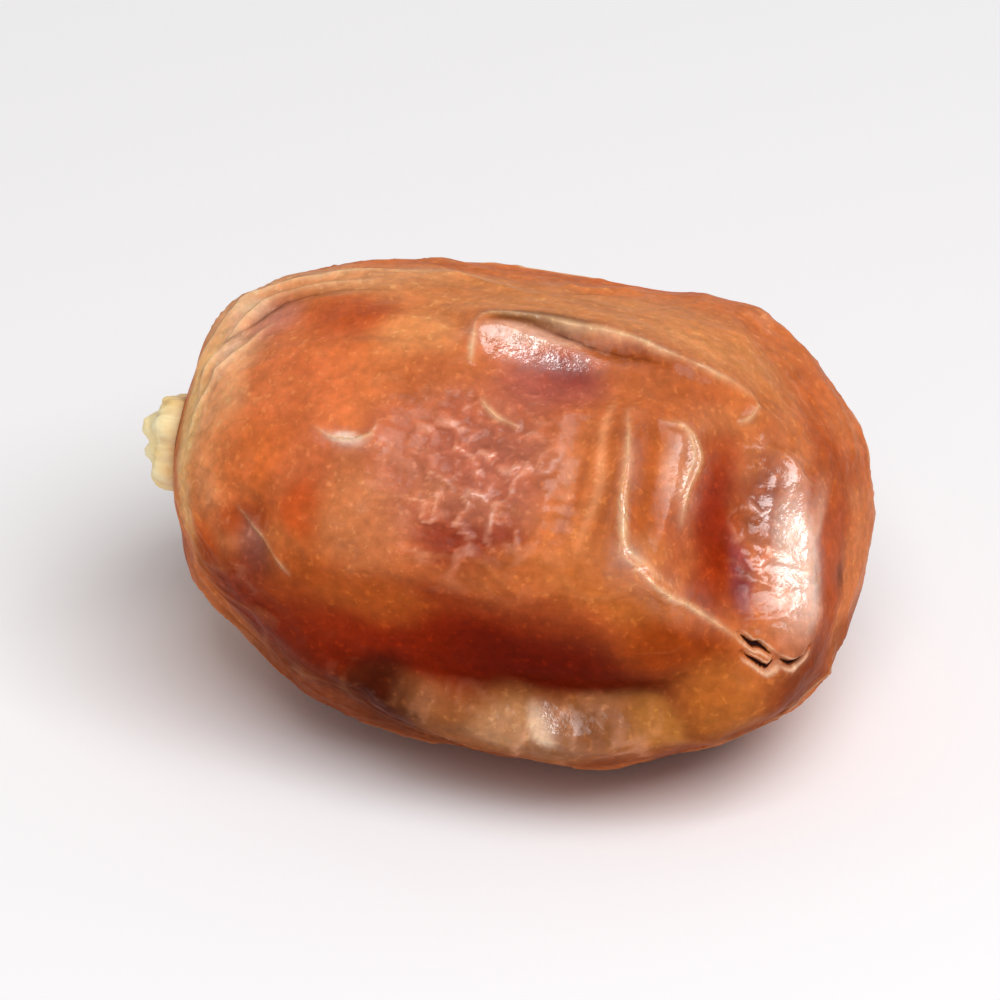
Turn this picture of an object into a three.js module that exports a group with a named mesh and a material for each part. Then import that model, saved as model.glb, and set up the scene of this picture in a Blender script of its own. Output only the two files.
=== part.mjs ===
// A soft dried date lying on its side: one plump wrinkled fruit, and the dry cap (calyx) that is
// left on its stem end. Units are millimetres. +X runs from the stem end to the blossom end and
// +Z is up. The origin is on the surface that the date lies on, under the middle of the date.

import * as THREE from 'three';
import { mergeVertices } from 'three/addons/utils/BufferGeometryUtils.js';

// ---- Driving dimensions ----

// The fruit before it shrivels is a superellipsoid about its own axis.
const HALF_LENGTH = 20.5;
const HALF_WIDTH = 14.5;
const HALF_HEIGHT = 13.75;
const SQUARENESS = 2.5; // 2 gives an ellipsoid, more gives blunter ends
const REST_DEPTH = 13.0; // how far below the axis the soft flesh is pressed flat
const SKIN_DETAIL = 23; // subdivisions of each face of the icosahedron that the skin starts from

// The wrinkles.
const PATH_STEPS = 28; // straight steps along one fold, roll or furrow
const CREST_ROUNDING = 1.0; // rounds the crest of a fold
const END_FADE = 0.6; // below 1, a line keeps its height until close to its ends
const DENT_ROUNDING = 0.15; // rounds the ridges between dents

// The cap sits around the stem end, on skin that has no wrinkles.
const CAP_RADIUS = 2.7;
const CAP_RISE = 2.0; // the cap's middle is this far above the axis
const CAP_GAP = 0.3; // clearance between the cap and the fruit
const CAP_SEGMENTS = 54;
const CAP_LOBES = 3;
const LOBE_REACH = 0.18; // how far a lobe stands out, as a share of the radius
const LOBE_CURL = 0.15; // how far a lobe's edge lifts off the fruit
const LOBE_SWELL = 0.25; // how much thicker a lobe is, as a share of the thickness
const SEAT_RADIUS = 3.4; // wrinkles start this far from the cap's middle
const SEAT_FADE = 4.0; // and reach their full height over this distance

// ---- The wrinkled skin ----
// A place on the skin is [x, angle]: x along the axis, and the angle around it in degrees, with
// 0 facing -Y, 90 on top, 180 facing +Y and -90 underneath.

// Raised folds of skin, with a narrow crest and hollow flanks. The widths are of the flanks on the
// left and on the right, seen from outside along the path.
const FOLDS = [
  // above the pocket on top
  {
    path: [[-2.6, 82], [-1.2, 87], [4.6, 86.5], [8.3, 84], [11.8, 84], [14.5, 87]],
    height: 0.9,
    widths: [1.9, 0.5],
  },
  // down the front, then across to the split skin near the blossom end
  { path: [[7.6, 67], [8.1, 55], [8.3, 42], [8.7, 32], [9.4, 27]], height: 0.6, widths: [0.5, 0.6] },
  { path: [[8.2, 31], [9.9, 26], [12, 19], [14, 12], [16, 2]], height: 0.65, widths: [0.5, 0.6] },
  // the near edge of the big hollow
  {
    path: [[9.6, 66], [11.5, 65], [12.3, 60], [12.1, 50], [11.9, 38]],
    height: 0.45,
    widths: [0.5, 0.5],
  },
  // top, towards the back
  { path: [[-9, 138], [-3, 131], [5, 134], [12, 142]], height: 0.5, widths: [0.8, 1.0] },
  // along the back
  { path: [[-14, 160], [-7, 162], [0, 156], [7, 155], [14, 152]], height: 0.5, widths: [0.8, 1.0] },
  // low on the back
  { path: [[-15, -158], [-6, -150], [4, -148], [13, -150]], height: 0.5, widths: [1.2, 0.9] },
  // the shelf over the roll
  {
    path: [[-5.5, -18], [-1.1, -20], [3.3, -21], [7.5, -21], [11.5, -18], [14.6, -11], [16.4, -5]],
    height: 0.8,
    widths: [0.4, 1.6],
  },
  // the brow over the dark front
  { path: [[-9, 24], [-3.8, 24], [1, 18], [5, 15], [8.4, 14]], height: 0.4, widths: [1.6, 1.2] },
  // the rim of loose skin round the upper stem end
  {
    path: [[-19.3, 92], [-18.4, 101], [-16.5, 106], [-12.8, 108], [-7, 104]],
    height: 0.45,
    widths: [0.9, 0.5],
  },
];

// Rounded rolls of flesh.
const ROLLS = [
  // low on the front
  {
    path: [[-6, -22], [-2.5, -25], [4, -27], [9.5, -28], [14.3, -24], [18, -14]],
    height: 1.1,
    widths: [1.7, 2.2],
  },
  // low on the back
  { path: [[-10, -128], [0, -124], [10, -130]], height: 0.7, widths: [2.4, 2.4] },
];

// Rounded furrows between the folds.
const FURROWS = [
  // the long one across the front, above the roll
  {
    path: [[-8, -12], [-2.8, -15], [3, -16], [10, -15], [13.2, -8], [15.2, -2]],
    height: -1.0,
    widths: [1.6, 1.0],
  },
];

// Broad swellings (+) and hollows (-): reach is [along, across], and turn is the angle from the
// axis to the first.
const SWELLS = [
  // the upper shoulder of each end, and the taper under the stem end
  { at: [-16.5, 115], reach: [5.5, 4.5], turn: 0, height: 1.1 },
  { at: [12.5, 130], reach: [4.5, 4.5], turn: 0, height: 0.8 },
  { at: [-16, -42], reach: [8, 7.5], turn: 0, height: -1.6 },
  // the plump upper side near the stem, and the flesh below the split skin
  { at: [-11, 60], reach: [6, 6], turn: 0, height: 0.5 },
  { at: [17, -10], reach: [4, 4], turn: 0, height: 1.4 },
  // the top falls away towards the back and the blossom end
  { at: [1, 112], reach: [9, 5], turn: 0, height: -0.6 },
  { at: [17, 92], reach: [5, 5], turn: 0, height: -1.0 },
  // both tips
  { at: [20, 45], reach: [7, 7], turn: 0, height: -1.3 },
  { at: [-20, 0], reach: [8, 8], turn: 0, height: 0.2 },
];

// Dents, with the same reach and turn. Where two dents meet, the skin between them stands up as a
// sharp ridge.
const DENTS = [
  // the pocket on top
  { at: [3.2, 75], reach: [5.8, 3.2], turn: 0, depth: 1.25 },
  // the crumpled middle
  { at: [0, 44], reach: [6.6, 5.6], turn: 0, depth: 0.6 },
  // both sides of the fold down the front
  { at: [5.7, 44], reach: [6, 2.5], turn: 90, depth: 0.7 },
  { at: [10.6, 50], reach: [5, 2.1], turn: 88, depth: 0.75 },
  // the big hollow that crosses the tip
  { at: [15.5, 40], reach: [9, 5.5], turn: 82, depth: 2.5 },
  // the orange panel and the dark front below it
  { at: [9.2, 12], reach: [6.5, 2.7], turn: 22, depth: 0.7 },
  { at: [3, 13], reach: [5, 2.0], turn: 5, depth: 0.35 },
  { at: [-1, -1], reach: [13, 4.6], turn: 0, depth: 1.2 },
  // low at the stem end
  { at: [-13.6, 19], reach: [3.4, 1.9], turn: 62, depth: 0.6 },
  // the back
  { at: [-9, 148], reach: [7, 3.3], turn: 5, depth: 0.8 },
  { at: [5, 144], reach: [7, 2.8], turn: -8, depth: 0.9 },
  { at: [-4, 174], reach: [9, 3.2], turn: 4, depth: 1.0 },
  { at: [11, 168], reach: [7, 3.2], turn: 10, depth: 0.8 },
  { at: [-12, -166], reach: [5, 3.0], turn: -6, depth: 0.7 },
  { at: [4, -163], reach: [8, 3.2], turn: 5, depth: 0.9 },
  { at: [-6, -139], reach: [8, 3.2], turn: -4, depth: 0.8 },
  { at: [9, -138], reach: [7, 3.2], turn: 6, depth: 0.8 },
  { at: [15.5, 116], reach: [5, 3.2], turn: 20, depth: 0.7 },
  // underneath
  { at: [-3, -57], reach: [10, 4], turn: 0, depth: 0.8 },
  { at: [13, -62], reach: [6, 4], turn: 20, depth: 0.7 },
  { at: [0, -110], reach: [9, 4], turn: 0, depth: 0.6 },
];

const radians = THREE.MathUtils.degToRad;

// The unshrivelled fruit's surface and its outward normal, along a direction from its middle.
function plumpSkin(direction) {
  const around = Math.hypot(direction.y, direction.z);
  const spread = Math.abs(direction.x) ** SQUARENESS + around ** SQUARENESS;
  const scale = spread ** (-1 / SQUARENESS);
  const point = new THREE.Vector3(HALF_LENGTH, HALF_WIDTH, HALF_HEIGHT)
    .multiply(direction)
    .multiplyScalar(scale);
  const sideways = (around * scale) ** (SQUARENESS - 2);
  const normal = new THREE.Vector3(
    (Math.sign(point.x) * Math.abs(direction.x * scale) ** (SQUARENESS - 1)) / HALF_LENGTH,
    (sideways * point.y) / HALF_WIDTH ** 2,
    (sideways * point.z) / HALF_HEIGHT ** 2,
  ).normalize();
  return { point, normal };
}

// The same at a place given as [x, angle].
function skinAt([x, angle]) {
  const across = (1 - Math.abs(x / HALF_LENGTH) ** SQUARENESS) ** (1 / SQUARENESS);
  const y = -across * Math.cos(radians(angle));
  const z = across * Math.sin(radians(angle));
  return plumpSkin(new THREE.Vector3(x / HALF_LENGTH, y, z));
}

// Each line gets the points of a smooth path through its places, and its kind of section.
function traced(isSharp) {
  return (line) => {
    const places = line.path.map((place) => skinAt(place).point);
    const path = new THREE.CatmullRomCurve3(places, false, 'catmullrom', 0.5);
    return { ...line, isSharp, points: path.getPoints(PATH_STEPS) };
  };
}

const lines = [
  ...FOLDS.map(traced(true)),
  ...ROLLS.map(traced(false)),
  ...FURROWS.map(traced(false)),
];

// How far a line lifts the skin at a point with that outward normal.
function lineLift(line, point, normal) {
  let nearest = Infinity;
  let along = 0;
  let width = 0;
  const step = new THREE.Vector3();
  const offset = new THREE.Vector3();
  for (let i = 0; i < PATH_STEPS; i += 1) {
    step.subVectors(line.points[i + 1], line.points[i]);
    offset.subVectors(point, line.points[i]);
    const share = THREE.MathUtils.clamp(offset.dot(step) / step.lengthSq(), 0, 1);
    const distance = offset.addScaledVector(step, -share).length();
    if (distance < nearest) {
      nearest = distance;
      along = (i + share) / PATH_STEPS;
      width = line.widths[normal.clone().cross(step).dot(offset) > 0 ? 0 : 1];
    }
  }
  const fade = Math.sin(Math.PI * along) ** END_FADE;
  const fromCrest = Math.hypot(nearest, CREST_ROUNDING) - CREST_ROUNDING;
  const sharp = Math.exp(-fromCrest / width);
  const round = Math.exp(-((nearest / width) ** 2));
  return line.height * fade * (line.isSharp ? sharp : round);
}

// Each swelling or dent gets its middle and its own axes on the skin.
function laidOut(patch) {
  const { point, normal } = skinAt(patch.at);
  const lengthwise = new THREE.Vector3(1, 0, 0).projectOnPlane(normal).normalize();
  const along = lengthwise.applyAxisAngle(normal, -radians(patch.turn));
  const across = new THREE.Vector3().crossVectors(normal, along);
  return { ...patch, point, normal, along, across };
}

const swells = SWELLS.map(laidOut);
const dents = DENTS.map(laidOut);

// The square of how far a point is from a patch's middle, with 1 at the patch's edge.
function patchDistance(patch, point) {
  const offset = point.clone().sub(patch.point);
  const u = offset.dot(patch.along) / patch.reach[0];
  const v = offset.dot(patch.across) / patch.reach[1];
  const w = offset.dot(patch.normal) / HALF_HEIGHT;
  return u * u + v * v + w * w;
}

// How deep the dents are at a point: each is a bowl, and where bowls overlap the deeper one counts.
function dentDepth(point) {
  let total = 0;
  for (const dent of dents) {
    const bowl = dent.depth * (1 - patchDistance(dent, point));
    const blend = Math.max(DENT_ROUNDING - Math.abs(total - bowl), 0) / DENT_ROUNDING;
    total = Math.max(total, bowl) + (blend * blend * DENT_ROUNDING) / 4;
  }
  return total;
}

const capMiddle = new THREE.Vector3(-HALF_LENGTH, 0, CAP_RISE);

// The shrivelled fruit's surface, along a direction from its middle.
function shrivelledSkin(direction) {
  const { point, normal } = plumpSkin(direction);
  const fromCap = point.distanceTo(capMiddle);
  const free = THREE.MathUtils.smoothstep(fromCap, SEAT_RADIUS, SEAT_RADIUS + SEAT_FADE);
  let lift = -free * dentDepth(point);
  for (const line of lines) lift += free * lineLift(line, point, normal);
  for (const swell of swells) lift += swell.height * Math.exp(-patchDistance(swell, point));
  point.addScaledVector(normal, lift);
  point.z = Math.max(point.z, -REST_DEPTH);
  return point;
}

function makeFruit() {
  const ball = new THREE.IcosahedronGeometry(1, SKIN_DETAIL);
  ball.deleteAttribute('normal');
  ball.deleteAttribute('uv');
  const skin = mergeVertices(ball, 1e-5);
  const position = skin.getAttribute('position');
  const direction = new THREE.Vector3();
  for (let i = 0; i < position.count; i += 1) {
    direction.fromBufferAttribute(position, i).normalize();
    position.setXYZ(i, ...shrivelledSkin(direction));
  }
  skin.computeVertexNormals();
  const material = new THREE.MeshStandardMaterial({ color: 0xb4622f, roughness: 0.35, metalness: 0 });
  const fruit = new THREE.Mesh(skin, material);
  fruit.name = 'fruit';
  return fruit;
}

// ---- The cap ----

// Half of the cap's section, from the middle of its underside round its edge to the scar on top:
// [distance from the middle as a share of the radius, height above the seat].
const CAP_SECTION = [
  [0, 0], [0.35, 0], [0.65, 0], [0.9, 0], [1, 0.22], [0.98, 0.6], [0.86, 0.85], [0.68, 0.85],
  [0.56, 1.05], [0.5, 1.4], [0.4, 1.6], [0.3, 1.48], [0.2, 1.1], [0, 1],
];

// How far towards the stem end the fruit's skin lies at a height and a sideways place.
function seatDepth(y, z) {
  const around = Math.hypot(y / HALF_WIDTH, z / HALF_HEIGHT);
  const endward = (1 - around ** SQUARENESS) ** (1 / SQUARENESS);
  const direction = new THREE.Vector3(-endward, y / HALF_WIDTH, z / HALF_HEIGHT);
  return -shrivelledSkin(direction).x;
}

function makeCap() {
  const section = CAP_SECTION.map(([share, height]) => new THREE.Vector2(share * CAP_RADIUS, height));
  const cap = new THREE.LatheGeometry(section, CAP_SEGMENTS);
  cap.rotateZ(Math.PI / 2); // its axis now points along -X
  const position = cap.getAttribute('position');
  for (let i = 0; i < position.count; i += 1) {
    const share = Math.hypot(position.getY(i), position.getZ(i)) / CAP_RADIUS;
    const lobe = Math.cos(CAP_LOBES * Math.atan2(position.getZ(i), position.getY(i)));
    const height = -position.getX(i) * (1 + LOBE_SWELL * lobe * share);
    const stretch = 1 + LOBE_REACH * lobe * share ** 2;
    const y = position.getY(i) * stretch;
    const z = position.getZ(i) * stretch + CAP_RISE;
    const curl = LOBE_CURL * share ** 2 * (1 + lobe);
    position.setXYZ(i, -(seatDepth(y, z) + CAP_GAP + height + curl), y, z);
  }
  cap.computeVertexNormals();
  const material = new THREE.MeshStandardMaterial({ color: 0xd8ae76, roughness: 0.8, metalness: 0 });
  const calyx = new THREE.Mesh(cap, material);
  calyx.name = 'calyx';
  return calyx;
}

// ---- The date ----

const date = new THREE.Group();
date.add(makeFruit(), makeCap());

const box = new THREE.Box3().setFromObject(date);
const middle = box.getCenter(new THREE.Vector3());
date.position.set(-middle.x, -middle.y, -box.min.z);

export default date;
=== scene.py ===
"""The looks of one soft dried date with its dry cap, lying on a pale table.

The shape repeats the solids' formula: a superellipsoid about the date's axis, lifted along its
normal by folds, rolls, furrows and swellings. Then come finer creases, crinkled skin and a split.
The materials read what the mesh keeps at each point: the skin's tint, how glossy and how loose it
is, and how far away the nearest thin line is. Lengths are in millimetres until each mesh is made.
+X runs from the stem end to the blossom end, and +Z is up.
"""

import math

import bpy
import numpy as np
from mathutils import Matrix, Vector


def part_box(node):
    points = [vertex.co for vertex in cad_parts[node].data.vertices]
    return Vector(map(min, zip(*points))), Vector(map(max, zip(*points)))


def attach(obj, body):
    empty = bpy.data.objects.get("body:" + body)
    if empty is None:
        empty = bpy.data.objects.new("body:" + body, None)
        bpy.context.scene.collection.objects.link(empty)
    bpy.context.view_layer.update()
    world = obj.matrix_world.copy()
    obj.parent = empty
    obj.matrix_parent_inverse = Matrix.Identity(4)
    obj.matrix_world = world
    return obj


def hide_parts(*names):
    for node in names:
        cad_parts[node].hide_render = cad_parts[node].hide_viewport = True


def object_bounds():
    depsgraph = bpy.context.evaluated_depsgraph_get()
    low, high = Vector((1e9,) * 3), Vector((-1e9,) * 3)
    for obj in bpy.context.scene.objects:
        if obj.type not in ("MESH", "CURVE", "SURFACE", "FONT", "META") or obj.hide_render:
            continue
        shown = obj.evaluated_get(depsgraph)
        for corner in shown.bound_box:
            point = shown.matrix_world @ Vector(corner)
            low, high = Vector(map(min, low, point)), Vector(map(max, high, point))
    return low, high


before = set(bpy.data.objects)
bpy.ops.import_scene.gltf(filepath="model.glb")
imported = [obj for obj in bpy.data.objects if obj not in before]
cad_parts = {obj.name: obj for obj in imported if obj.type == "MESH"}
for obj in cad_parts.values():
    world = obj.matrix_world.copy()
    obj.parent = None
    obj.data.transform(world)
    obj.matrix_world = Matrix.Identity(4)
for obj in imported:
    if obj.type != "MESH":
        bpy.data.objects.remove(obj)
cad_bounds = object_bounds()

MM = 0.001

# ---- The date's own form: the same values as the solids ----

HALF_LENGTH = 20.5
HALF_WIDTH = 14.5
HALF_HEIGHT = 13.75
SQUARENESS = 2.5  # 2 would be an ellipsoid
REST_DEPTH = 13.0  # from the axis down to the flat spot that the date rests on
CAP_RADIUS = 2.7
CAP_RISE = 2.0  # how far above the axis the cap sits
CAP_GAP = 0.3  # between the skin and the underside of the solids' cap
CAP_LOBES = 3
LOBE_REACH = 0.18
LOBE_CURL = 0.15
LOBE_SWELL = 0.25
SEAT_RADIUS = 3.4  # the skin is plain this far round the cap's middle
SEAT_FADE = 4.0  # and reaches its full relief this much further out
END_FADE = 0.6  # how soon a line rises from its ends
CREST_ROUNDING = 0.2  # of the folds: the only value here that differs, 1.0 in the solids
DENT_ROUNDING = 0.15

# A place on the skin is (x, angle): x along the axis, and the angle around it in degrees, with
# 0 facing -Y, 90 on top, 180 facing +Y and -90 underneath.
# A line is (path, height, width on its left, width on its right), seen from outside along the path.

SHARP_FOLDS = [
    # above the pocket on top
    ([(-2.6, 82), (-1.2, 87), (4.6, 86.5), (8.3, 84), (11.8, 84), (14.5, 87)], 0.9, 1.9, 0.5),
    # down the front, then across to the split skin near the blossom end
    ([(7.6, 67), (8.1, 55), (8.3, 42), (8.7, 32), (9.4, 27)], 0.6, 0.5, 0.6),
    ([(8.2, 31), (9.9, 26), (12, 19), (14, 12), (16, 2)], 0.65, 0.5, 0.6),
    # the near edge of the big hollow
    ([(9.6, 66), (11.5, 65), (12.3, 60), (12.1, 50), (11.9, 38)], 0.45, 0.5, 0.5),
    # top, towards the back
    ([(-9, 138), (-3, 131), (5, 134), (12, 142)], 0.5, 0.8, 1.0),
    # along the back
    ([(-14, 160), (-7, 162), (0, 156), (7, 155), (14, 152)], 0.5, 0.8, 1.0),
    # low on the back
    ([(-15, -158), (-6, -150), (4, -148), (13, -150)], 0.5, 1.2, 0.9),
]

BLUNT_FOLDS = [
    # the shelf over the roll
    (
        [(-5.5, -18), (-1.1, -20), (3.3, -21), (7.5, -21), (11.5, -18), (14.6, -11), (16.4, -5)],
        0.8, 0.4, 1.6,
    ),
    # the brow over the dark front
    ([(-9, 24), (-3.8, 24), (1, 18), (5, 15), (8.4, 14)], 0.4, 1.6, 1.2),
    # the rim of loose skin round the upper stem end
    ([(-19.3, 92), (-18.4, 101), (-16.5, 106), (-12.8, 108), (-7, 104)], 0.45, 0.9, 0.5),
]

ROLLS = [
    # low on the front
    ([(-6, -22), (-2.5, -25), (4, -27), (9.5, -28), (14.3, -24), (18, -14)], 1.1, 1.7, 2.2),
    # low on the back
    ([(-10, -128), (0, -124), (10, -130)], 0.7, 2.4, 2.4),
]

FURROWS = [
    # the long one across the front, above the roll
    ([(-8, -12), (-2.8, -15), (3, -16), (10, -15), (13.2, -8), (15.2, -2)], -1.0, 1.6, 1.0),
]

# A swelling (+) or hollow (-) is (place, reach along, reach across, turn from the axis, height).
SWELLS = [
    # the upper shoulder of each end, and the taper under the stem end
    ((-16.5, 115), 5.5, 4.5, 0, 1.1),
    ((12.5, 130), 4.5, 4.5, 0, 0.8),
    ((-16, -42), 8, 7.5, 0, -1.6),
    # the plump upper side near the stem, and the flesh below the split skin
    ((-11, 60), 6, 6, 0, 0.5),
    ((17, -10), 4, 4, 0, 1.4),
    # the top falls away towards the back and the blossom end
    ((1, 112), 9, 5, 0, -0.6),
    ((17, 92), 5, 5, 0, -1.0),
    # both tips
    ((20, 45), 7, 7, 0, -1.3),
    ((-20, 0), 8, 8, 0, 0.2),
]

# A dent is (place, reach along, reach across, turn from the axis, depth). Where two dents meet,
# the skin between them stands up as a sharp ridge.
DENTS = [
    # the pocket on top
    ((3.2, 75), 5.8, 3.2, 0, 1.25),
    # the crumpled middle
    ((0, 44), 6.6, 5.6, 0, 0.6),
    # both sides of the fold down the front
    ((5.7, 44), 6, 2.5, 90, 0.7),
    ((10.6, 50), 5, 2.1, 88, 0.75),
    # the big hollow that crosses the tip
    ((15.5, 40), 9, 5.5, 82, 2.5),
    # the orange panel and the dark front below it
    ((9.2, 12), 6.5, 2.7, 22, 0.7),
    ((3, 13), 5, 2.0, 5, 0.35),
    ((-1, -1), 13, 4.6, 0, 1.2),
    # low at the stem end
    ((-13.6, 19), 3.4, 1.9, 62, 0.6),
    # the back
    ((-9, 148), 7, 3.3, 5, 0.8),
    ((5, 144), 7, 2.8, -8, 0.9),
    ((-4, 174), 9, 3.2, 4, 1.0),
    ((11, 168), 7, 3.2, 10, 0.8),
    ((-12, -166), 5, 3.0, -6, 0.7),
    ((4, -163), 8, 3.2, 5, 0.9),
    ((-6, -139), 8, 3.2, -4, 0.8),
    ((9, -138), 7, 3.2, 6, 0.8),
    ((15.5, 116), 5, 3.2, 20, 0.7),
    # underneath
    ((-3, -57), 10, 4, 0, 0.8),
    ((13, -62), 6, 4, 20, 0.7),
    ((0, -110), 9, 4, 0, 0.6),
]

# ---- Finer creases, only in the looks ----

FINE_ROUNDING = 0.08  # of their crests

# Each of these shows as a thin pale line, a painted highlight along its crest.
THIN_CREASES = [
    # on the plump upper side near the stem
    ([(-10.2, 50), (-9.1, 48), (-8.1, 47.2), (-7.2, 48), (-6.5, 50), (-6.4, 54)], 0.5, 0.25, 0.5),
    ([(-14.8, 27), (-13.6, 22), (-12, 17), (-10.6, 11)], 0.3, 0.5, 0.25),
    # the ends of the pocket
    ([(-2.4, 83), (-2.2, 77), (-1.9, 71)], 0.2, 0.4, 0.3),
    ([(14.5, 87), (14.4, 81), (13.8, 77)], 0.2, 0.5, 0.5),
    # across the top of the crumpled middle
    ([(-0.9, 63), (0.2, 59.5), (1.7, 57)], 0.2, 0.4, 0.4),
    # round the blossom end
    ([(18, -170), (19.2, -140), (18.6, -110)], 0.2, 0.7, 0.6),
    ([(19.8, -60), (18.4, -48), (15.5, -42)], 0.2, 0.5, 0.4),
    ([(19.9, 160), (18.6, 152), (15.6, 146)], 0.25, 0.5, 0.4),
    # down from the cap
    ([(-20.1, 200), (-19.2, 190), (-17, 184)], 0.25, 0.6, 0.4),
    ([(-20.1, -60), (-19, -70), (-16.5, -74)], 0.2, 0.6, 0.4),
    ([(-20.2, 40), (-19.6, 20), (-18.4, 6)], 0.2, 0.5, 0.4),
    # along the back and underneath
    ([(-12, 145), (-5, 148), (2, 143), (9, 150)], 0.2, 0.5, 0.4),
    ([(-16, -172), (-10, -158), (-2, -162)], 0.2, 0.5, 0.4),
    ([(-12, -140), (-4, -133), (3, -136)], 0.2, 0.5, 0.4),
]

# Each of these shows as a broader pale line, a painted highlight along its crest.
RIM_CREASES = [
    # the folded rim of loose skin round the upper stem end
    ([(-18.6, 60), (-18.1, 75), (-17.1, 88), (-15.6, 96), (-12.1, 100), (-9, 101)], 0.36, 0.35, 0.25),
    ([(-19.4, 78), (-18.6, 92), (-16.2, 103), (-12.6, 106), (-8.3, 108), (-3, 108)], 0.36, 0.3, 0.3),
    ([(-18.9, 46), (-18.2, 62), (-16.8, 76), (-14.4, 87)], 0.3, 0.3, 0.3),
    # the near edge of the big hollow, and the fold down the front, drawn beside their crests
    # on the slopes that face the lamp, as painted highlights
    ([(9.4, 65.4), (11.1, 65), (11.9, 61), (11.8, 54), (11.6, 47)], 0.1, 0.3, 0.3),
    ([(8.1, 58), (8.4, 48), (8.6, 37), (9.0, 31.5), (10.2, 27.5), (12, 21.5)], 0.1, 0.3, 0.3),
]

# These show by their shape alone.
SOFT_CREASES = [
    # low at the stem end
    ([(-12.4, 34), (-11.4, 28), (-10.4, 22), (-8.6, 16)], 0.2, 0.5, 0.4),
    # a low fold inside the pocket
    ([(-2.6, 82), (-0.6, 83.2), (1.6, 82.8), (3.6, 81.4), (6, 79.5), (8.6, 77)], 0.5, 0.5, 0.8),
    # from the pocket's end to the big hollow
    ([(13.9, 78), (12.9, 72.5), (11.2, 69)], 0.25, 0.6, 0.6),
    # the edge between the orange panel and the dark slope
    ([(2.6, 4), (6.3, 5), (11.2, 6), (14.4, 2)], 0.25, 1.2, 0.8),
    # down the panel beside the fold
    ([(6.1, 62), (6.4, 52), (6.1, 40)], 0.16, 0.4, 0.5),
    # on the roll
    ([(-5, -24), (0, -29), (6, -31), (12, -31)], 0.2, 0.6, 0.4),
    ([(5, -22), (9, -24), (14, -20)], 0.15, 0.5, 0.4),
    # round the blossom end, and underneath
    ([(18.6, -30), (19.2, -55), (18.2, -80)], 0.2, 0.8, 0.6),
    ([(-8, -48), (0, -44), (8, -47), (15, -42)], 0.2, 0.6, 0.5),
    ([(-14, -20), (-10, -32), (-5, -40)], 0.2, 0.6, 0.4),
]

# Each of these shows as a thin dark line of painted shade along its groove.
GROOVES = [
    # under the edge of the pocket
    ([(-1.9, 85.6), (0.6, 86), (3.2, 85), (6.2, 82.6), (9.5, 81)], -0.35, 0.5, 0.3),
    # in the rim of loose skin
    ([(-18.9, 68), (-18.0, 82), (-15.4, 92), (-11.6, 96.5), (-8, 97)], -0.12, 0.4, 0.3),
]

FINE_LINES = THIN_CREASES + RIM_CREASES + SOFT_CREASES + GROOVES

# The V where the skin has split: narrow cuts between pale lifted lips.
UPPER_SPLIT = [
    [(15.7, 5), (16.3, 1), (16.7, 0), (17.2, -5)],
    [(17.2, -5), (17.7, -8.5), (18.1, -9), (18.5, -7)],
]
LOWER_SPLIT = [
    [(15.7, -1), (16.2, -4), (16.7, -7), (17.2, -5)],
]
SPLIT_DEPTH = 0.35
SPLIT_WIDTH = 0.2
SPLIT_REACH = 3  # how far from a cut it still moves the skin
LIP_HEIGHT = 0.12
LIP_ASIDE = 0.4  # from the cut to the lip's crest
LIP_WIDTH = 0.25

# The paths that the skin's material draws, by kind. Lines that run close together are of different
# kinds, because each point keeps only its nearest line of a kind.
DRAWN_LINES = {
    "fold": [path for path, *_ in SHARP_FOLDS],
    "crease": [path for path, *_ in THIN_CREASES],
    "rim": [path for path, *_ in RIM_CREASES],
    "groove": [path for path, *_ in GROOVES],
    "upper_split": UPPER_SPLIT,
    "lower_split": LOWER_SPLIT,
}

# Parts of the skin that look alike: (place, reach along, reach across, turn, strength).
# Loose and finely crinkled:
CRINKLED = [
    ((-0.5, 46), 4.6, 5.0, 0, 1.4),
    ((-3.5, 33), 3.5, 2.4, 0, 0.5),
    ((5, -23), 8, 1.6, 0, 0.7),
    ((17.2, 34), 6, 2.4, 84, 0.8),
    ((-17.4, 78), 2.4, 9, 0, 0.35),
    ((-13.6, 19), 3.2, 1.6, 62, 0.6),
    ((13, 120), 5, 6, 0, 0.45),
    ((-5, 160), 6, 4, 10, 0.8),
    ((8, -160), 5, 4, 0, 0.7),
    ((-12, -110), 5, 4, 0, 0.6),
]
# Plump and smooth:
TAUT = [
    ((-12, 58), 7, 8, 0, 0.8),
    ((0, -2), 13, 5, 0, 1.0),
    ((3.5, 76), 6, 3.4, 0, 1.0),
    ((10.4, 50), 5, 3.4, 88, 0.9),
    ((5.4, 46), 4.5, 1.8, 88, 0.7),
    ((13.5, 45), 8, 2, 80, 0.9),
    ((20.3, 30), 8, 1.6, 90, 0.6),
    ((8, 96), 9, 5, 0, 0.6),
    ((20.2, -115), 5, 4.5, 0, 0.65),
    ((16.8, 134), 4.5, 4, 0, 0.5),
]
# Wet and shiny:
GLOSSY = [
    ((18.6, 36), 4.8, 2.3, 86, 1.6),
    ((11.9, 54), 2.8, 1.0, 88, 0.7),
    ((2.2, 80.6), 3.6, 1.0, -6, 1.5),
    ((0.4, 44), 3.8, 4.0, 0, 0.35),
    ((-8.0, 47.6), 1.5, 0.5, 0, 1.2),
    ((8.6, 45), 4.5, 0.6, 90, 0.5),
    ((9.4, 29), 0.9, 0.8, 20, 0.6),
    ((12, 18), 4, 1.4, 28, 0.4),
    ((4, -22), 6, 1.4, 0, 0.6),
    ((4.8, -19.4), 0.9, 0.5, 20, 0.8),
    ((18.5, 190), 3, 7, 0, 0.3),
    ((-18.5, -20), 2.5, 5, 0, 0.2),
    ((18.5, -25), 3, 6, 0, -0.4),
    ((-5, 160), 9, 6, 0, 0.2),
    ((8, -150), 9, 6, 0, 0.2),
    # dull skin on the dark front
    ((-4, -8), 16, 6, 0, -0.5),
]
SHEEN = 0.06  # how glossy the rest of the skin is
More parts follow.
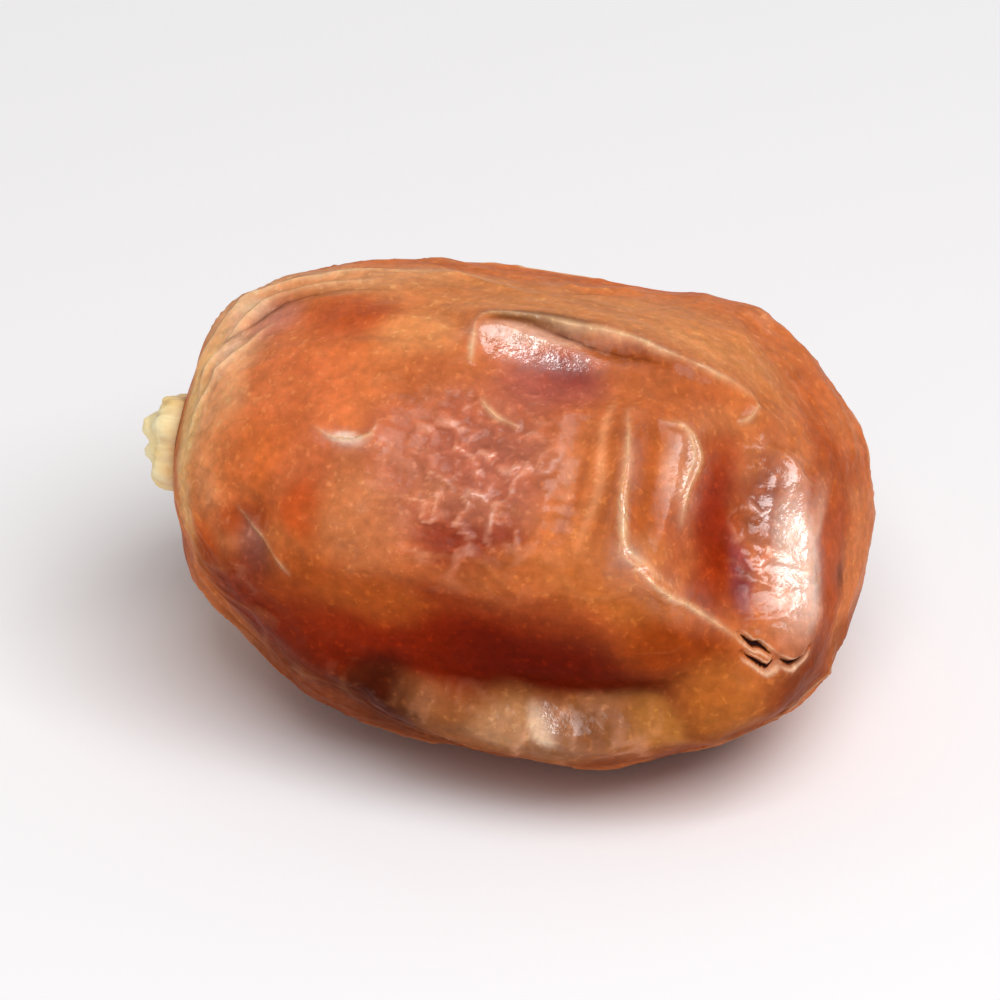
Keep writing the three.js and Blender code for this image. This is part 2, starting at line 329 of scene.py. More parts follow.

# The colours from place to place, among them painted shade and painted highlights:
# (place, reach along, reach across, turn, strength, colour).
SKIN_COLOUR = (206, 112, 58)
# the crumpled skin: darker in its valleys as painted shade, paler on its ridges as painted highlight
VALLEY_SHADE_COLOUR = (104, 34, 18)
RIDGE_HIGHLIGHT_COLOUR = (240, 168, 134)
TINTS = [
    # the stem end: pale loose skin round the rim, red-brown flesh inside it
    ((-17.2, 80), 2.6, 10, 0, 0.9, (248, 178, 130)),
    # the left end, paler here as painted light, where little of the lamp's light reaches
    ((-18.9, 52), 1.8, 6, 0, 1.0, (255, 194, 126)),
    ((-16.6, 50), 2.2, 3.2, 0, 0.8, (248, 164, 104)),
    # more of the rim and the flesh inside it
    ((-16.2, 95), 1.4, 0.7, 30, 0.8, (255, 214, 172)),
    ((-17.2, 83), 0.7, 2.4, 0, 0.8, (255, 200, 162)),
    ((-11, 106), 7, 2.2, 0, 0.8, (222, 154, 104)),
    ((-13.4, 66), 1.6, 4.0, 0, 0.8, (228, 128, 76)),
    ((-14.9, 86), 2.0, 1.8, 0, 0.8, (198, 118, 96)),
    ((-10.4, 86), 3.2, 2.2, 0, 0.9, (190, 82, 34)),
    ((-11.3, 60), 4.6, 4.4, 0, 0.9, (222, 116, 64)),
    ((-5.6, 80), 2.4, 2.2, 0, 1.0, (230, 146, 86)),
    ((-5, 66), 1.8, 1.8, 0, 0.7, (182, 92, 46)),
    ((-14.4, 40), 3.0, 2.4, 0, 0.8, (222, 112, 50)),
    ((-10.5, 37), 2.4, 2.6, 0, 0.7, (196, 100, 60)),
    ((-8.1, 41.5), 1.6, 1.1, 0, 0.8, (172, 92, 56)),
    ((-14.3, 27), 2.8, 1.3, 0, 0.9, (172, 68, 18)),
    ((-10.0, 27), 1.8, 1.4, 60, 0.7, (196, 74, 20)),
    ((-16.6, 14), 1.2, 1.4, 0, 0.7, (206, 84, 26)),
    ((-13.6, 17), 2.4, 1.1, 62, 1.0, (176, 112, 92)),
    # low on the stem end, darker as painted shadow
    ((-14, -4), 4.0, 4.2, 0, 0.9, (118, 34, 6)),
    ((-10, -18), 5.0, 3.6, 0, 0.9, (84, 22, 4)),
    ((-5.6, -22), 3.8, 2.8, 0, 1.0, (70, 20, 4)),
    # the middle, starting with a painted highlight along the bottom of the U-shaped crease
    ((-8.0, 47.6), 1.5, 0.4, 0, 1.0, (255, 220, 192)),
    # the rest of the middle
    ((-6.0, 33), 3.2, 3.8, 0, 0.9, (200, 118, 72)),
    ((-5.6, 53), 1.8, 2.2, 0, 0.7, (188, 96, 60)),
    ((-0.4, 46), 5.2, 5.0, 0, 1.0, (196, 112, 84)),
    ((-2.0, 57.5), 1.6, 1.4, 0, 0.7, (178, 92, 60)),
    ((3.8, 50), 1.2, 2.4, 0, 0.6, (180, 98, 60)),
    ((0.4, 27.5), 3.4, 1.5, 4, 1.0, (150, 58, 34)),
    ((5.6, 60), 3.6, 1.6, 0, 0.7, (178, 90, 48)),
    ((5.8, 40), 2.4, 4.8, 0, 0.8, (206, 118, 62)),
    ((6.4, 50), 4.4, 0.35, 88, 0.7, (236, 156, 104)),
    ((5.3, 44), 3.4, 0.3, 92, 0.6, (172, 84, 34)),
    ((7.3, 46), 4.6, 0.3, 90, 0.5, (180, 90, 38)),
    ((3.5, 22), 4.0, 1.4, 4, 0.7, (200, 112, 58)),
    ((9.3, 50), 4.6, 1.2, 90, 0.9, (172, 82, 28)),
    ((11.4, 56), 2.8, 0.9, 90, 0.9, (200, 124, 82)),
    ((13.2, 75.5), 2.0, 0.9, -40, 0.8, (244, 160, 98)),
    ((11.3, 34), 2.6, 1.2, 90, 0.8, (172, 82, 44)),
    ((13.4, 32), 3, 1.2, 90, 0.7, (156, 60, 28)),
    ((9.9, 31.5), 1.4, 1.0, 30, 0.7, (186, 108, 56)),
    # the pocket and above it
    ((5, 101), 13, 4.0, 0, 0.8, (214, 136, 78)),
    ((9.5, 77), 4.0, 2.2, 0, 0.8, (180, 92, 44)),
    ((2.5, 71), 3.2, 2.5, 0, 1.0, (178, 90, 72)),
    ((3.6, 74), 1.6, 1.2, 0, 0.8, (146, 60, 48)),
    # painted shade in the valley under the pocket's edge
    ((1.6, 86.5), 3.4, 0.7, -5, 0.95, (122, 66, 16)),
    # further along the pocket's edge
    ((8.4, 82.5), 3.4, 0.9, -5, 0.8, (168, 84, 40)),
    # a painted highlight on the low fold inside the pocket
    ((1.3, 82.2), 3.2, 0.7, -6, 0.9, (228, 170, 140)),
    # the hollow that crosses the tip, its far side and the tip
    ((15.8, 82), 3.2, 3.2, 0, 0.8, (188, 100, 46)),
    ((20.2, 40), 12, 2.6, 90, 0.9, (168, 66, 16)),
    # a painted highlight, widening the tip's highlight to the right
    ((19.5, 66), 2.4, 1.0, 90, 0.7, (220, 160, 128)),
    # the trough of the hollow: deep red-brown skin, darkened further as painted shade
    ((14.4, 42), 6.6, 2.2, 86, 1.0, (144, 40, 6)),
    # the rest of the hollow and the tip
    ((16.2, 27), 2.4, 1.0, 80, 0.8, (150, 56, 60)),
    # a painted highlight over the wet, shiny skin of the tip
    ((18.7, 38), 4.8, 1.7, 86, 0.95, (234, 188, 164)),
    # more of the hollow
    ((16.6, 60), 3.2, 1.9, 80, 0.9, (144, 64, 28)),
    ((15.9, 22), 2.2, 1.0, 80, 0.8, (132, 50, 50)),
    # the dark front: deep red-brown skin, darkened further as painted shade; and the panel above its
    # blossom end
    ((-1, -4), 13.5, 5.2, 0, 1.0, (130, 30, 2)),
    ((-7, 10), 5, 2.0, 0, 0.8, (176, 82, 28)),
    ((6, -8), 8, 3.4, 0, 0.9, (92, 14, 1)),
    ((-1.0, 14), 2.2, 1.0, 0, 0.6, (138, 46, 10)),
    ((9.8, -13), 2.4, 1.3, 0, 0.6, (84, 14, 2)),
    ((10.4, 14), 5.4, 1.7, 22, 0.9, (194, 104, 44)),
    ((12.6, 3), 3.4, 1.8, 12, 0.9, (140, 52, 8)),
    # the roll
    # its lower side, darker as painted shade
    ((0, -34), 9, 3.0, 0, 0.9, (112, 56, 26)),
    ((12, -34), 9, 3.0, 0, 0.9, (120, 52, 14)),
    # its crest
    ((4, -21), 9.5, 1.6, 0, 0.9, (158, 98, 52)),
    ((-2.6, -23), 3.0, 1.6, 0, 0.8, (146, 88, 50)),
    # painted shadow at its left end
    ((-5, -24), 2.6, 3.2, 0, 1.0, (66, 18, 4)),
    # its crest again
    ((2.4, -20), 2.4, 0.8, 0, 0.9, (188, 130, 84)),
    # a painted highlight on its crest
    ((4.9, -19.2), 1.0, 0.5, 30, 0.7, (246, 202, 164)),
    # more of its crest
    ((7.6, -19.5), 1.4, 1.0, 0, 0.7, (126, 72, 36)),
    # yellowish skin, partly a painted highlight
    ((11.0, -20.5), 1.8, 1.0, 0, 0.5, (190, 122, 50)),
    # towards the blossom end
    ((13.4, -21), 1.5, 1.4, 0, 0.8, (120, 50, 16)),
    ((14.6, -14), 2.6, 2.2, 0, 0.8, (180, 102, 40)),
    # painted shade on the lower side of the blossom end
    ((18.2, -24), 2.6, 4.0, 0, 0.8, (116, 44, 8)),
    # both tips
    ((20.4, 0), 0.9, 0.9, 0, 0.8, (128, 60, 28)),
    ((19.9, -80), 1.6, 5, 0, 0.8, (150, 70, 30)),
    ((19.6, 110), 1.8, 6, 0, 0.8, (172, 78, 28)),
    ((-20.3, 170), 1.2, 3, 0, 0.8, (222, 140, 78)),
    ((-20, -60), 1.2, 5, 0, 0.8, (160, 70, 30)),
    ((-18.6, 190), 2.4, 4, 0, 0.8, (178, 84, 40)),
    # underneath and the back
    ((-11, -44), 8, 5, 0, 0.8, (110, 44, 14)),
    ((0, -75), 18, 8, 0, 0.8, (120, 46, 16)),
    ((0, 172), 19, 10, 0, 0.8, (206, 98, 34)),
    ((0, -120), 15, 6, 0, 0.8, (176, 82, 34)),
    ((-9, 148), 6, 3.4, 5, 0.8, (220, 122, 56)),
    ((4, 174), 10, 2.8, 4, 0.9, (164, 50, 10)),
    ((10, -150), 8, 4, 0, 0.8, (212, 112, 46)),
    ((-12, -160), 5, 4, 0, 0.8, (180, 70, 26)),
    ((6, 140), 6, 3, 0, 0.7, (196, 88, 38)),
]

FACE_CELLS = 128  # squares along each edge of the cube that the skin starts from
PATH_STEPS = 24  # straight steps in each line
LINE_REACH = 0.5  # how far from a thin line the skin still shows it
LINE_SEARCH = 2.0  # how far from it the distance is measured

# How high the skin's fine relief is, and the middles that some of it swings about
PANEL_DEPTH = 0.9
PANEL_MIDDLE = 0.25
WRINKLE_HEIGHT = 0.32
TIP_WRINKLE_HEIGHT = 0.12
WRINKLE_MIDDLE = 0.3
CRUMPLE_HEIGHT = 0.28
CRUMPLE_MIDDLE = 0.6
NARROW_UNDULATION = 0.05
BROAD_UNDULATION = 0.125


def rgb(red, green, blue):
    """A colour given as it looks on screen, 0 to 255, as the linear numbers that a shader takes."""
    def linear(value):
        value /= 255
        return value / 12.92 if value <= 0.04045 else ((value + 0.055) / 1.055) ** 2.4
    return (linear(red), linear(green), linear(blue), 1.0)


# ---- Noise, the same on every run ----

def lattice_random(cell, seed):
    """A number from 0 to 1 for each whole-number cell of an (n, 3) array."""
    keys = cell.astype(np.int64) & 0xFFFFFFFF
    mixed = keys[..., 0] * 73856093 ^ keys[..., 1] * 19349663 ^ keys[..., 2] * 83492791
    mixed = (mixed ^ (seed * 2654435761)) & 0xFFFFFFFF
    mixed = ((mixed >> 16) ^ mixed) * 0x45D9F3B & 0xFFFFFFFF
    mixed = ((mixed >> 16) ^ mixed) * 0x45D9F3B & 0xFFFFFFFF
    mixed = (mixed >> 16) ^ mixed
    return mixed / 0xFFFFFFFF


def smooth_noise(points, size, seed):
    """Soft noise from -1 to 1 whose bumps are about size across."""
    scaled = points / size
    cell = np.floor(scaled)
    part = scaled - cell
    ease = part * part * part * (part * (part * 6 - 15) + 10)
    total = np.zeros(len(points))
    for corner in np.ndindex(2, 2, 2):
        share = np.prod(np.where(np.array(corner), ease, 1 - ease), axis=1)
        total += share * lattice_random(cell + corner, seed)
    return total * 2 - 1


def layered_noise(points, size, seed, layers=3):
    """Several smooth noises, each half the size and half the height of the one before."""
    total = sum(smooth_noise(points, size / 2**i, seed + i) / 2**i for i in range(layers))
    return total / (2 - 2 ** (1 - layers))


def ridged_noise(points, size, seed, sharpness=6, layers=2):
    """Winding ridges about size apart, from 0 between them to 1 along them."""
    total = np.zeros(len(points))
    for i in range(layers):
        wave = smooth_noise(points, size / 2**i, seed + i)
        total += (1 - np.abs(wave)) ** sharpness / 2**i
    return total / (2 - 2 ** (1 - layers))


def warped(points, size, reach, seed):
    """The points, each pushed about by noise, so that what is drawn on them isn't straight."""
    push = [layered_noise(points, size, seed + 10 * i, 2) for i in range(3)]
    return points + reach * np.stack(push, axis=1)


def cell_middle_distance(points, size, seed):
    """In a net of cells about size across: how far each point is from its cell's middle, as a share
    of the size."""
    scaled = points / size
    home = np.floor(scaled)
    nearest = np.full(len(points), np.inf)
    for step in np.ndindex(3, 3, 3):
        cell = home + np.array(step) - 1
        jitter = np.stack([lattice_random(cell, seed + i) for i in range(3)], axis=1)
        nearest = np.minimum(nearest, np.linalg.norm(cell + jitter - scaled, axis=1))
    return nearest


# ---- The skin ----

def plump_skin(direction):
    """Points and outward normals of the unshrivelled fruit along directions from its middle."""
    around = np.hypot(direction[:, 1], direction[:, 2])
    along = np.abs(direction[:, 0])
    scale = (along**SQUARENESS + around**SQUARENESS) ** (-1 / SQUARENESS)
    unit = direction * scale[:, None]
    point = unit * (HALF_LENGTH, HALF_WIDTH, HALF_HEIGHT)
    sideways = (around * scale) ** (SQUARENESS - 2)
    endward = np.sign(unit[:, 0]) * np.abs(unit[:, 0]) ** (SQUARENESS - 1)
    normal = np.stack(
        [endward / HALF_LENGTH, sideways * unit[:, 1] / HALF_WIDTH, sideways * unit[:, 2] / HALF_HEIGHT],
        axis=1,
    )
    return point, normal / np.linalg.norm(normal, axis=1, keepdims=True)


def skin_at(places):
    """Points and normals at (x, angle) places."""
    x, angle = np.array(places, float).T
    unit_x = x / HALF_LENGTH
    across = (1 - np.abs(unit_x) ** SQUARENESS) ** (1 / SQUARENESS)
    angle = np.radians(angle)
    return plump_skin(np.stack([unit_x, -across * np.cos(angle), across * np.sin(angle)], axis=1))


def smooth_path(places):
    """PATH_STEPS + 1 points of a Catmull-Rom curve through the places."""
    knots = skin_at(places)[0]
    knots = np.vstack([2 * knots[0] - knots[1], knots, 2 * knots[-1] - knots[-2]])
    at = np.linspace(0, len(knots) - 3, PATH_STEPS + 1)
    span = np.minimum(at.astype(int), len(knots) - 4)
    t = (at - span)[:, None]
    a, b, c, d = (knots[span + i] for i in range(4))
    return 0.5 * (2 * b + (c - a) * t + (2 * a - 5 * b + 4 * c - d) * t**2 + (3 * b - a - 3 * c + d) * t**3)


def near_path(point, normal, path, reach):
    """For the points within reach of a path: their indices, distance, place along it and side."""
    middle = (path.min(0) + path.max(0)) / 2
    radius = np.linalg.norm(path - middle, axis=1).max() + reach
    chosen = np.flatnonzero(np.linalg.norm(point - middle, axis=1) < radius)
    here = point[chosen]
    nearest = np.full(len(chosen), np.inf)
    along = np.zeros(len(chosen))
    side = np.zeros(len(chosen))
    for i in range(len(path) - 1):
        step = path[i + 1] - path[i]
        offset = here - path[i]
        share = np.clip(offset @ step / (step @ step), 0, 1)
        offset -= share[:, None] * step
        distance = np.linalg.norm(offset, axis=1)
        closer = distance < nearest
        nearest[closer] = distance[closer]
        along[closer] = (i + share[closer]) / (len(path) - 1)
        left = np.cross(normal[chosen[closer]], step)
        side[closer] = np.sign(np.einsum("ij,ij->i", left, offset[closer]))
    return chosen, nearest, along, side


def line_lift(point, normal, line, rounding=None):
    """How far a line lifts each point: with a crest rounded that much, or without one as a bell."""
    places, height, left_width, right_width = line
    reach = (3 if rounding is None else 6) * max(left_width, right_width)
    chosen, nearest, along, side = near_path(point, normal, smooth_path(places), reach)
    width = np.where(side > 0, left_width, right_width)
    if rounding is None:
        profile = np.exp(-((nearest / width) ** 2))
    else:
        profile = np.exp(-(np.hypot(nearest, rounding) - rounding) / width)
    lift = np.zeros(len(point))
    lift[chosen] = height * np.sin(np.pi * along) ** END_FADE * profile
    return lift


def patch_distance(point, place, along_reach, across_reach, turn):
    """The square of how far points are from the middle of a patch, with 1 at the patch's edge."""
    middle, normal = (row[0] for row in skin_at([place]))
    lengthwise = np.array([1.0, 0, 0]) - normal[0] * normal
    lengthwise /= np.linalg.norm(lengthwise)
    around = np.cross(lengthwise, normal)
    turn = math.radians(turn)
    along = math.cos(turn) * lengthwise + math.sin(turn) * around
    across = np.cross(normal, along)
    offset = point - middle
    u = offset @ along / along_reach
    v = offset @ across / across_reach
    w = offset @ normal / HALF_HEIGHT
    return u * u + v * v + w * w


def nearest_line(point, normal, paths):
    """How far each point is to the left (+) or right (-) of its nearest line, LINE_REACH at the most,
    and how strong that line is there."""
    strayed = warped(point, 1.4, 0.14, seed=401)
    aside = np.full(len(point), LINE_SEARCH)
    strength = np.zeros(len(point))
    for places in paths:
        chosen, nearest, along, side = near_path(strayed, normal, smooth_path(places), LINE_SEARCH)
        closer = nearest < np.abs(aside[chosen])
        chosen, nearest, along, side = (values[closer] for values in (chosen, nearest, along, side))
        aside[chosen] = nearest * side
        strength[chosen] = np.sin(np.pi * along) ** END_FADE * smoothstep(0.9, 0.4, nearest / LINE_REACH)
    return np.clip(aside, -LINE_REACH, LINE_REACH), strength


def swell_share(point, place, along_reach, across_reach, turn):
    """From 1 at the middle of a swelling to 0 far from it."""
    return np.exp(-patch_distance(point, place, along_reach, across_reach, turn))


def dent_depth(point):
    """How deep the dents are, each a bowl; where bowls overlap, the deeper one counts."""
    total = np.zeros(len(point))
    for *patch, depth in DENTS:
        bowl = depth * (1 - patch_distance(point, *patch))
        blend = np.maximum(DENT_ROUNDING - np.abs(total - bowl), 0) / DENT_ROUNDING
        total = np.maximum(total, bowl) + blend * blend * DENT_ROUNDING / 4
    return total


def zones(point, places):
    """The sum of several parts of the skin, each with its own strength."""
    return sum(strength * swell_share(point, *zone) for *zone, strength in places)


def smoothstep(low, high, value):
    """From 0 at low to 1 at high, with soft ends."""
    share = np.clip((value - low) / (high - low), 0, 1)
    return share * share * (3 - 2 * share)


def main_lift(point, normal):
    """The lift that the solids have too, and how free of the cap each point is, from 0 to 1."""
    cap_middle = np.array([-HALF_LENGTH, 0, CAP_RISE])
    free = smoothstep(SEAT_RADIUS, SEAT_RADIUS + SEAT_FADE, np.linalg.norm(point - cap_middle, axis=1))
    lines = sum(line_lift(point, normal, line, CREST_ROUNDING) for line in SHARP_FOLDS + BLUNT_FOLDS)
    lines = lines + sum(line_lift(point, normal, line) for line in ROLLS + FURROWS)
    swells = sum(height * swell_share(point, *swell) for *swell, height in SWELLS)
    return free * (lines - dent_depth(point)) + swells, free


def cube_sphere(cells):
    """Directions and quads of a sphere made from a cube's six faces, each cells x cells."""
    ticks = np.tan(np.linspace(-math.pi / 4, math.pi / 4, cells + 1))
    u, v = np.meshgrid(ticks, ticks, indexing="ij")
    one = np.ones_like(u)
    faces = [(one, u, v), (-one, v, u), (v, one, u), (u, -one, v), (u, v, one), (v, u, -one)]
    points = np.concatenate([np.stack(face, axis=-1).reshape(-1, 3) for face in faces])
    index = np.arange((cells + 1) ** 2).reshape(cells + 1, cells + 1)
    corners = [index[:-1, :-1], index[1:, :-1], index[1:, 1:], index[:-1, 1:]]
    quad = np.stack(corners, axis=-1).reshape(-1, 4)
    quads = np.concatenate([quad + face * (cells + 1) ** 2 for face in range(6)])
    _, first, merged = np.unique(np.round(points, 6), axis=0, return_index=True, return_inverse=True)
    points = points[first]
    return points / np.linalg.norm(points, axis=1, keepdims=True), merged.reshape(-1)[quads]


def make_mesh(name, points, faces, attributes):
    """A smooth-shaded object from points in metres, with a number at each point per attribute."""
    mesh = bpy.data.meshes.new(name)
    mesh.from_pydata(points.tolist(), [], faces.tolist())
    mesh.polygons.foreach_set("use_smooth", np.ones(len(mesh.polygons), bool))
    for label, values in attributes.items():
        kind, field = ("FLOAT", "value") if values.ndim == 1 else ("FLOAT_COLOR", "color")
        layer = mesh.attributes.new(label, kind, "POINT")
        layer.data.foreach_set(field, values.astype(np.float32).ravel())
    piece = bpy.data.objects.new(name, mesh)
    bpy.context.scene.collection.objects.link(piece)
    return piece


def frame_offset(points, node):
    """What moves points in the date's own frame, in mm, to where the solids have that node."""
    low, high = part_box(node)
    own_middle = (points.min(0) + points.max(0)) / 2
    offset = np.array((low + high) / 2) / MM - own_middle
    offset[2] = REST_DEPTH
    return offset


def skin_tint(point, ridge, valley):
    """The skin's colour at each point, as linear red, green, blue and alpha, with painted shade and
    painted highlights in some patches: paler on the ridges of the crumpled skin as painted highlight,
    and darker in its valleys as painted shade."""
    strayed = warped(point, 5, 1.1, seed=301)
    tint = np.tile(rgb(*SKIN_COLOUR), (len(point), 1))
    for *patch, strength, colour in TINTS:
        share = strength * np.exp(-patch_distance(strayed, *patch) ** 2)
        tint += share[:, None] * (np.array(rgb(*colour)) - tint)
    streaks = layered_noise(warped(point, 4, 1.5, seed=321) * (0.4, 1, 1), 2.4, seed=311, layers=5)
    tint[:, :3] *= 1 + streaks[:, None] * (0.1, 0.22, 0.3)
    # painted shade in the crumple's valleys, painted highlight on its ridges
    tint += 0.3 * valley[:, None] * (np.array(rgb(*VALLEY_SHADE_COLOUR)) - tint)
    tint += 0.5 * ridge[:, None] * (np.array(rgb(*RIDGE_HIGHLIGHT_COLOUR)) - tint)
    return tint


def panel_lift(point):
    """Hollow panels that meet in sharp edges."""
    wide = cell_middle_distance(warped(point, 7, 2, seed=3) * (0.5, 1, 1), 5, seed=11)
    return PANEL_DEPTH * wide**2 - PANEL_MIDDLE


def drawn_wrinkles(point):
    """Wrinkles that run from end to end and draw together at the tips, from 0 between them to 1
    along them, and a number that grows to 1 towards the tips."""
    around = np.maximum(np.hypot(point[:, 1] / HALF_WIDTH, point[:, 2] / HALF_HEIGHT), 0.05)
    squeeze = np.stack([np.full_like(around, 0.28), 1 / around, 1 / around], axis=1)
    strayed = warped(point, 5, 2.2, seed=103)
    drawn = ridged_noise(strayed * squeeze, 3.0, seed=113, sharpness=5)
    return drawn * smoothstep(0.15, 0.7, around), smoothstep(0.85, 0.55, around)


def crumpled(point):
    """Finely crumpled skin: broken squiggles, and small scales between them."""
    squiggles = ridged_noise(warped(point, 2.4, 2.2, seed=31), 1.7, seed=43, sharpness=4, layers=1)
    squiggles *= smoothstep(-0.35, 0.25, smooth_noise(point, 1.3, seed=47))
    scales = ridged_noise(warped(point, 1.0, 0.6, seed=51), 1.0, seed=61, sharpness=3)
    return squiggles + 0.6 * scales


def split_lift(point, normal):
    """How far the split's lips lift each point, or its cuts lower it."""
    cut = np.zeros(len(point))
    lip = np.zeros(len(point))
    for arm in UPPER_SPLIT + LOWER_SPLIT:
        chosen, nearest, along, _ = near_path(point, normal, smooth_path(arm), SPLIT_REACH)
        taper = smoothstep(0, 0.15, along) * smoothstep(1, 0.85, along)
        arm_lip = np.exp(-(((nearest - LIP_ASIDE) / LIP_WIDTH) ** 2)) * (0.4 + 0.6 * taper)
        cut[chosen] = np.maximum(cut[chosen], np.exp(-((nearest / SPLIT_WIDTH) ** 2)))
        lip[chosen] = np.maximum(lip[chosen], arm_lip)
    return LIP_HEIGHT * lip * (1 - cut) - SPLIT_DEPTH * cut


def make_fruit():
    """The fruit, and what moves its own frame, in mm, to where the solids are."""
    direction, quads = cube_sphere(FACE_CELLS)
    point, normal = plump_skin(direction)
    lift, free = main_lift(point, normal)
    form = point + normal * lift[:, None]
    form[:, 2] = np.maximum(form[:, 2], -REST_DEPTH)
    offset = frame_offset(form, "fruit")

    taut = np.clip(zones(point, TAUT), 0, 1)
    slack = 1 - 0.9 * taut
    loose = zones(point, CRINKLED) * (1 - 0.7 * taut) + 0.15 * layered_noise(point, 6, seed=21)
    loose = np.clip(loose, 0, 1)

    creases = sum(line_lift(point, normal, line, FINE_ROUNDING) for line in FINE_LINES)
    panels = slack * panel_lift(point)
    drawn, tips = drawn_wrinkles(point)
    wrinkles = (WRINKLE_HEIGHT + TIP_WRINKLE_HEIGHT * tips) * slack * (drawn - WRINKLE_MIDDLE)
    crumple = crumpled(point)
    ridge = smoothstep(CRUMPLE_MIDDLE, 1.1, crumple)
    valley = smoothstep(CRUMPLE_MIDDLE, 0.2, crumple)
    crinkles = CRUMPLE_HEIGHT * loose * (crumple - CRUMPLE_MIDDLE)
    undulation = NARROW_UNDULATION * layered_noise(point, 3.4, seed=71)
    undulation += BROAD_UNDULATION * layered_noise(point, 9, seed=81, layers=2)

    fine_lift = creases + panels + wrinkles + crinkles + undulation
    fine_lift = free * fine_lift + split_lift(point, normal)
    shape = point + normal * (lift + fine_lift)[:, None]
    shape[:, 2] = np.maximum(shape[:, 2], -REST_DEPTH)

    attributes = {
        "tint": skin_tint(point, loose * ridge, loose * valley),
        "gloss": np.clip(SHEEN + zones(point, GLOSSY), 0, 1) * (1 - 0.7 * loose * (1 - ridge)),
        "loose": loose,
        "drawn": slack * drawn,
    }
    for kind, paths in DRAWN_LINES.items():
        attributes[kind + "_aside"], attributes[kind] = nearest_line(point, normal, paths)
    fruit = make_mesh("date_fruit", (shape + offset) * MM, quads, attributes)
    return fruit, offset


# ---- The cap ----

CAP_RINGS = 40
CAP_SPOKES = 180
UNDER_GAP = 0.03  # the dressed cap almost touches the skin
CAP_RIBS = 23
RIB_HEIGHT = 0.025
CAP_NOISE_RADIUS = 4.3  # of the disc of noise that makes its edge ragged and its top lumpy
# (share of the way from the cap's middle to its edge, height above the gap)
CAP_PROFILE = [
    (0, 0.98), (0.1, 0.98), (0.2, 1.08), (0.3, 1.46), (0.4, 1.6), (0.5, 1.4), (0.56, 1.08),
    (0.68, 0.85), (0.86, 0.85), (0.97, 0.62), (1.0, 0.3),
]


def seat_depth(y, z):
    """How far towards the stem end the fruit's skin lies at sideways places y and heights z."""
    around = np.hypot(y / HALF_WIDTH, z / HALF_HEIGHT)
    endward = (1 - around**SQUARENESS) ** (1 / SQUARENESS)
    point, normal = plump_skin(np.stack([-endward, y / HALF_WIDTH, z / HALF_HEIGHT], axis=1))
    return -(point + normal * main_lift(point, normal)[0][:, None])[:, 0]


def make_cap(offset):
    """The dry cap on the stem end: three ragged lobes round a scar, ribbed towards their edge."""
    share = np.linspace(0.001, 1, CAP_RINGS)
    spoke = np.linspace(0, 2 * math.pi, CAP_SPOKES, endpoint=False)
    share, spoke = (grid.ravel() for grid in np.meshgrid(share, spoke, indexing="ij"))
    knots, heights = np.array(CAP_PROFILE).T
    height = np.interp(share, knots, heights)
    lobe = np.cos(CAP_LOBES * spoke)
    flat = np.stack([share * np.cos(spoke), share * np.sin(spoke), np.zeros_like(share)], axis=1)
    flat *= CAP_NOISE_RADIUS
    ragged = layered_noise(flat, 1.6, seed=7)
    stretch = 1 + LOBE_REACH * lobe * share**2 + 0.1 * ragged * share**3
    y = CAP_RADIUS * share * np.cos(spoke) * stretch
    z = CAP_RADIUS * share * np.sin(spoke) * stretch + CAP_RISE
    ribs = RIB_HEIGHT * np.cos(CAP_RIBS * spoke + 14 * ragged) * smoothstep(0.45, 0.7, share)
    lumps = 0.5 * layered_noise(flat, 2.0, seed=17)
    curl = LOBE_CURL * share**2 * (1 + lobe)
    height *= 1 + LOBE_SWELL * lobe * share
    seat = seat_depth(y, z)
    top = seat + CAP_GAP + height + curl + ribs + lumps * smoothstep(0, 0.4, share)
    under = seat + UNDER_GAP
    points = np.concatenate([np.stack([-top, y, z], axis=1), np.stack([-under, y, z], axis=1)])
    index = np.arange(CAP_RINGS * CAP_SPOKES).reshape(CAP_RINGS, CAP_SPOKES)
    turned = np.roll(index, -1, axis=1)
    top_quads = np.stack([index[:-1], turned[:-1], turned[1:], index[1:]], axis=-1).reshape(-1, 4)
    below = len(share)
    under_quads = top_quads[:, ::-1] + below
    rim = np.stack([index[-1], turned[-1], turned[-1] + below, index[-1] + below], axis=-1)
    hub = np.stack([turned[0], index[0], index[0] + below, turned[0] + below], axis=-1)
    quads = np.concatenate([top_quads, under_quads, rim, hub])
    attributes = {
        "share": np.concatenate([share, share]),
        "groove": np.concatenate([ribs / (2 * RIB_HEIGHT) + 2 * lumps, np.zeros_like(ribs)]),
    }
    return make_mesh("date_cap", (points + offset) * MM, quads, attributes)


# ---- Materials ----

# How each kind of line looks: its width, and its weakest and strongest parts.
LINE_LOOKS = {
    "fold": (0.2, 0.5, 1.0),
    "crease": (0.14, 0.3, 0.9),
    "rim": (0.26, 0.5, 0.95),
    "groove": (0.16, 0.4, 0.8),
}
CUT_WIDTH = 0.14
PALE_LIP_ASIDE = 0.3
PALE_LIP_WIDTH = 0.11
PALE_LIP_STRENGTH = 1.5

DRAWN_COLOUR = (226, 150, 96)
# a painted highlight on the crumple's raised squiggles
SQUIGGLE_HIGHLIGHT_COLOUR = (236, 160, 128)
# a painted highlight along the crests of the thin lines
LINE_HIGHLIGHT_COLOUR = (255, 204, 150)
# painted shade in the grooves
GROOVE_SHADE_COLOUR = (78, 22, 8)
LIP_COLOUR = (244, 196, 160)
# painted shade inside the cuts of the split
CUT_SHADE_COLOUR = (34, 8, 6)
CAP_COLOURS = (255, 222, 150), (255, 242, 196)
# painted shade between the cap's ribs and in its low lumps
CAP_GROOVE_SHADE_COLOUR = (190, 130, 62)
CAP_SCAR_COLOUR = (140, 90, 50)
FLOOR_COLOUR = (252, 252, 255)


